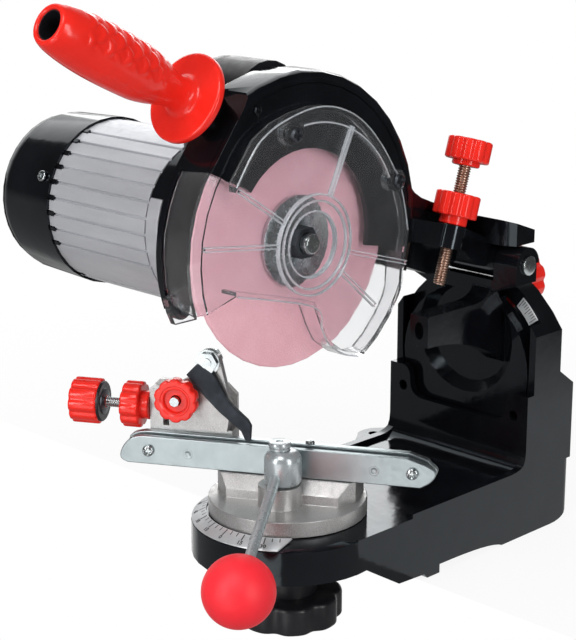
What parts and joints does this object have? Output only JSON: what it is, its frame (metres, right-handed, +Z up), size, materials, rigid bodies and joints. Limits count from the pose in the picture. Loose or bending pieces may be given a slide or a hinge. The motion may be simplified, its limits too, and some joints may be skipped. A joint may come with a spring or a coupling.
{
  "type": "electric chainsaw sharpener",
  "caption": "Bench grinder for saw chains: cast base, swivelling chain vise with cam lever and stop, and a motor head with guarded wheel that swings down on a tilting bracket.",
  "frame": {"origin": "on the bench plane under the middle of the column's foot, where the tilt axis's plane meets the bench", "axes": "+Z up from the bench, -Y towards the operator along the base, +X towards the open side of the grinding wheel, -X along the motor"},
  "size_m": [0.2889, 0.3667, 0.3644],
  "materials": {
    "black_casting": "gloss black enamel on die-cast aluminium",
    "red_plastic": "moulded red plastic",
    "cast_silver": "bare die-cast aluminium",
    "zinc_steel": "zinc-plated steel",
    "dark_steel": "blackened steel",
    "copper_thread": "copper-toned plated thread",
    "pink_grit": "pink vitrified abrasive",
    "clear_plastic": "clear moulded plastic",
    "black_plastic": "black moulded plastic",
    "scale_metal": "bright printed scale metal",
    "motor_winding": "laminated core with copper windings"
  },
  "bodies": {
    "base": {"base_casting": "black_casting", "vise_angle_scale": "scale_metal", "tilt_index_plate": "scale_metal"},
    "tilt": {"tilt_bracket": "black_casting", "tilt_pivot_screw": "zinc_steel", "tilt_lock_washer": "zinc_steel", "tilt_lock_stud": "zinc_steel", "hinge_pin": "zinc_steel", "return_spring": "dark_steel"},
    "tilt_lock": {"tilt_lock_knob": "red_plastic"},
    "head": {"head_housing": "black_casting", "wheel_cover": "black_casting", "cover_screw": "black_casting", "handle_grip": "red_plastic", "handle_stud": "zinc_steel", "switch_box": "black_plastic", "cable_gland": "black_plastic", "motor_front_ring": "cast_silver", "motor_body": "cast_silver", "motor_end_cap": "black_casting", "end_cap_screw_1": "zinc_steel", "end_cap_screw_2": "zinc_steel", "stator": "motor_winding", "front_bearing": "zinc_steel", "rear_bearing": "zinc_steel", "wheel_guard": "clear_plastic", "guard_screw_1": "zinc_steel", "guard_screw_2": "zinc_steel", "guard_screw_3": "zinc_steel"},
    "wheel": {"grinding_wheel": "pink_grit", "wheel_inner_flange": "zinc_steel", "wheel_outer_flange": "zinc_steel", "wheel_nut": "dark_steel", "motor_shaft": "zinc_steel", "rotor": "dark_steel"},
    "rocker": {"switch_rocker": "red_plastic"},
    "depth_lock": {"depth_lock_knob": "red_plastic"},
    "depth_rod": {"depth_screw": "copper_thread"},
    "depth_top": {"depth_knob": "red_plastic"},
    "vise": {"turntable": "cast_silver", "clamp_stud": "zinc_steel", "rear_rail": "cast_silver", "rail_screw_1": "zinc_steel", "rail_screw_2": "zinc_steel", "rail_dome_screw": "zinc_steel", "cam_pin": "zinc_steel", "stop_bracket": "cast_silver"},
    "vise_clamp": {"clamp_knob": "black_plastic"},
    "lever": {"cam_hub": "zinc_steel", "lever_rod": "zinc_steel", "lever_ball": "red_plastic"},
    "jaw": {"front_jaw": "cast_silver"},
    "carriage": {"stop_carriage": "cast_silver", "pawl_bolt": "zinc_steel", "stop_clamp_screw": "zinc_steel"},
    "carriage_clamp": {"stop_clamp_knob": "red_plastic"},
    "thrust": {"thrust_screw": "zinc_steel", "thrust_knob": "red_plastic"},
    "thrust_lock": {"thrust_lock_knob": "red_plastic"},
    "pawl": {"chain_pawl": "dark_steel"}
  },
  "joints": [
    {"name": "head_tilt", "type": "hinge", "parent": "base", "child": "tilt", "pos_m": [0, 0, 0.099], "axis": [0, 1, 0], "range_deg": [0, 35]},
    {"name": "tilt_lock_turn", "type": "hinge", "parent": "tilt", "child": "tilt_lock", "pos_m": [0, 0.045, 0.146], "axis": [0, 1, 0], "range_deg": [0, 180]},
    {"name": "head_swing", "type": "hinge", "parent": "tilt", "child": "head", "pos_m": [0, 0.007, 0.17], "axis": [1, 0, 0], "range_deg": [0, 15], "stiffness_Nm_per_rad": 6, "springref_deg": -103.13},
    {"name": "wheel_spin", "type": "hinge", "parent": "head", "child": "wheel", "pos_m": [0, -0.15, 0.204], "axis": [1, 0, 0], "continuous": true},
    {"name": "switch_rock", "type": "hinge", "parent": "head", "child": "rocker", "pos_m": [-0.036, -0.172, 0.264], "axis": [1, 0, 0], "range_deg": [0, 20]},
    {"name": "depth_lock_turn", "type": "hinge", "parent": "head", "child": "depth_lock", "pos_m": [0.02, -0.034, 0.1972], "axis": [0, 0.304, 0.9527], "range_deg": [0, 90]},
    {"name": "depth_travel", "type": "slide", "parent": "head", "child": "depth_rod", "axis": [0, 0.304, 0.9527], "range_m": [-0.008, 0.012]},
    {"name": "depth_turn", "type": "hinge", "parent": "depth_rod", "child": "depth_top", "pos_m": [0.02, -0.034, 0.1972], "axis": [0, 0.304, 0.9527], "range_deg": [-2304, 3456]},
    {"name": "vise_swivel", "type": "hinge", "parent": "base", "child": "vise", "pos_m": [0, -0.152, 0.045], "axis": [0, 0, 1], "range_deg": [-65.5, 4.5]},
    {"name": "vise_clamp_turn", "type": "hinge", "parent": "vise", "child": "vise_clamp", "pos_m": [0, -0.152, 0], "axis": [0, 0, 1], "range_deg": [0, 270]},
    {"name": "lever_swing", "type": "hinge", "parent": "vise", "child": "lever", "pos_m": [0.00914, -0.16751, 0.077], "axis": [0, 0, 1], "range_deg": [0, 40]},
    {"name": "jaw_close", "type": "slide", "parent": "vise", "child": "jaw", "axis": [-0.5075, 0.8616, 0], "range_m": [0, 0.0012]},
    {"name": "carriage_travel", "type": "slide", "parent": "vise", "child": "carriage", "axis": [0.8616, 0.5075, 0], "range_m": [-0.0045, 0.0045]},
    {"name": "carriage_clamp_turn", "type": "hinge", "parent": "carriage", "child": "carriage_clamp", "pos_m": [-0.05261, -0.18879, 0.108], "axis": [-0.5075, 0.8616, 0], "range_deg": [0, 180]},
    {"name": "thrust_turn", "type": "hinge", "parent": "carriage", "child": "thrust", "pos_m": [-0.0812, -0.19148, 0.0984], "axis": [0.8616, 0.5075, 0], "range_deg": [-1296, 1296]},
    {"name": "thrust_lock_turn", "type": "hinge", "parent": "vise", "child": "thrust_lock", "pos_m": [-0.0812, -0.19148, 0.0984], "axis": [0.8616, 0.5075, 0], "range_deg": [0, 90]},
    {"name": "pawl_lift", "type": "hinge", "parent": "carriage", "child": "pawl", "pos_m": [-0.03887, -0.17861, 0.129], "axis": [-0.5075, 0.8616, 0], "range_deg": [-45, 0]}
  ],
  "couplings": [
    {"joint": "jaw_close", "follows": "lever_swing", "m_per_rad": 0.001718},
    {"joint": "depth_turn", "follows": "depth_travel", "rad_per_m": 5026.5},
    {"joint": "thrust_turn", "follows": "carriage_travel", "rad_per_m": 5026.5}
  ]
}
